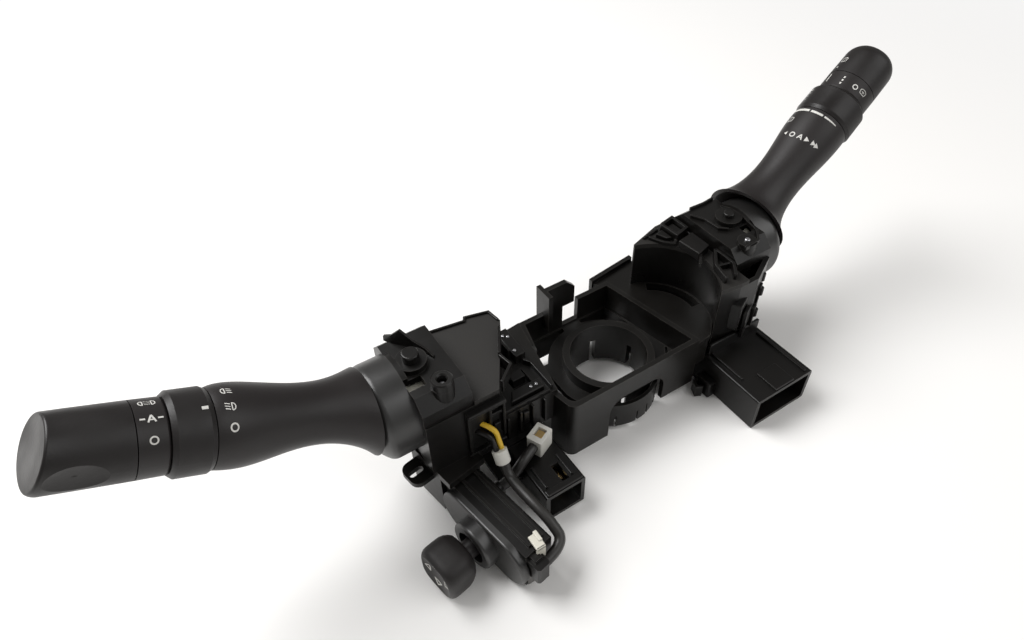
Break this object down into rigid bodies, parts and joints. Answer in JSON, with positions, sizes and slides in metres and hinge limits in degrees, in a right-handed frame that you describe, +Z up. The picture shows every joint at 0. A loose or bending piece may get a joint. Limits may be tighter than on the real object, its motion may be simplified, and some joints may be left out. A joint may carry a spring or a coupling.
{
  "type": "combination stalk switch",
  "caption": "Steering column combination switch: lights stalk and wiper stalk with turning collars and knobs, column sleeve, plug sockets and a small tilt switch",
  "frame": {"origin": "on the axis of the column sleeve, at the sleeve's lower rim", "axes": "+Z up the column towards the steering wheel, +X towards the wiper stalk, +Y away from the harness sockets"},
  "size_m": [0.3593, 0.0989, 0.1044],
  "materials": {
    "bracket_black": "fine moulded grain, glass-filled nylon",
    "case_black": "smooth moulded, slightly shiny on edges",
    "cover_grey_black": "flat matt cover plate",
    "stalk_black": "soft satin lever plastic",
    "knob_black": "fine grained grip with worn sheen",
    "gloss_black": "greased shiny ball cover",
    "natural_nylon": "milky unfilled nylon",
    "white_plug": "white moulded plug",
    "end_grey": "light grey moulding",
    "board_green": "printed circuit board",
    "steel": "drawn steel pin",
    "brass": "stamped contact brass",
    "lead_black": "black sleeve",
    "wire_yellow": "yellow wire sheath",
    "wire_black": "black wire sheath"
  },
  "bodies": {
    "housing": {"column_bracket": "bracket_black", "left_case": "case_black", "left_cover": "cover_grey_black", "left_ball_cover": "gloss_black", "left_contact_board": "board_green", "left_detent_block": "natural_nylon", "right_case": "case_black", "right_cover": "cover_grey_black", "right_ball_cover": "gloss_black", "right_contact_board": "board_green", "right_detent_block": "natural_nylon", "right_connector": "bracket_black", "left_connector": "bracket_black", "right_terminals": "brass", "left_terminals": "brass", "tilt_case": "case_black", "tilt_bezel": "case_black", "tilt_bracket": "bracket_black", "saddle_screws": "steel", "wire_ferrule": "white_plug", "switch_lead": "lead_black", "branch_lead": "lead_black", "yellow_wire": "wire_yellow", "black_wire": "wire_black", "tilt_plug": "case_black", "branch_plug": "white_plug", "branch_pin": "brass", "boss_pins": "steel"},
    "left_yoke": {"left_yoke": "natural_nylon", "left_lever_pin": "steel"},
    "left_lever": {"left_stalk": "stalk_black", "left_spindle": "natural_nylon", "left_plunger": "natural_nylon", "light_symbol_ring": "stalk_black"},
    "fog_collar": {"fog_collar": "knob_black"},
    "light_knob": {"light_knob": "knob_black"},
    "left_slider": {"left_slider": "natural_nylon"},
    "right_yoke": {"right_yoke": "natural_nylon", "right_lever_pin": "steel"},
    "right_lever": {"right_stalk": "stalk_black", "right_spindle": "natural_nylon", "right_plunger": "natural_nylon", "wiper_symbol_ring": "stalk_black"},
    "interval_collar": {"interval_collar": "knob_black"},
    "wiper_knob": {"wiper_knob": "knob_black"},
    "right_slider": {"right_slider": "natural_nylon"},
    "tilt_gimbal": {"tilt_gimbal": "natural_nylon"},
    "tilt_stem": {"tilt_stem": "stalk_black", "tilt_knob": "knob_black", "tilt_cross_pin": "steel"}
  },
  "joints": [
    {"name": "left_turn", "type": "hinge", "parent": "housing", "child": "left_yoke", "pos_m": [-0.082, 0.0083, 0.043], "axis": [0, 0, 1], "range_deg": [-9, 9]},
    {"name": "left_lift", "type": "hinge", "parent": "left_yoke", "child": "left_lever", "pos_m": [-0.082, 0.0083, 0.043], "axis": [0.0349, -0.9994, 0], "range_deg": [-5, 5], "stiffness_Nm_per_rad": 3},
    {"name": "fog_collar_turn", "type": "hinge", "parent": "left_lever", "child": "fog_collar", "pos_m": [-0.0826, 0.0071, 0.0417], "axis": [-0.9048, 0, 0.4258], "range_deg": [-20, 20]},
    {"name": "light_knob_turn", "type": "hinge", "parent": "left_lever", "child": "light_knob", "pos_m": [-0.0826, 0.0071, 0.0417], "axis": [-0.9048, 0, 0.4258], "range_deg": [-25, 50]},
    {"name": "left_slide", "type": "slide", "parent": "housing", "child": "left_slider", "axis": [0.0349, -0.9994, 0], "range_m": [-0.002, 0.002]},
    {"name": "right_turn", "type": "hinge", "parent": "housing", "child": "right_yoke", "pos_m": [0.0668, 0.0081, 0.04], "axis": [0, 0, 1], "range_deg": [-9, 9]},
    {"name": "right_lift", "type": "hinge", "parent": "right_yoke", "child": "right_lever", "pos_m": [0.0668, 0.0081, 0.04], "axis": [-0.2079, 0.9781, 0], "range_deg": [-5, 5], "stiffness_Nm_per_rad": 3},
    {"name": "interval_collar_turn", "type": "hinge", "parent": "right_lever", "child": "interval_collar", "pos_m": [0.0667, 0.0081, 0.0402], "axis": [0.8614, 0.1411, 0.4879], "range_deg": [-30, 30]},
    {"name": "wiper_knob_turn", "type": "hinge", "parent": "right_lever", "child": "wiper_knob", "pos_m": [0.0667, 0.0081, 0.0402], "axis": [0.8614, 0.1411, 0.4879], "range_deg": [-25, 50]},
    {"name": "right_slide", "type": "slide", "parent": "housing", "child": "right_slider", "axis": [-0.2079, 0.9781, 0], "range_m": [-0.002, 0.002]},
    {"name": "tilt_side", "type": "hinge", "parent": "housing", "child": "tilt_gimbal", "pos_m": [-0.07455, -0.03433, 0.0075], "axis": [0, 0, 1], "range_deg": [-5, 5], "stiffness_Nm_per_rad": 0.3},
    {"name": "tilt_up", "type": "hinge", "parent": "tilt_gimbal", "child": "tilt_stem", "pos_m": [-0.07455, -0.03433, 0.0075], "axis": [0.1736, -0.9848, 0], "range_deg": [-5, 5], "stiffness_Nm_per_rad": 0.3}
  ],
  "couplings": [
    {"joint": "left_slide", "follows": "left_turn", "m_per_rad": -0.0126},
    {"joint": "right_slide", "follows": "right_turn", "m_per_rad": -0.0126}
  ]
}
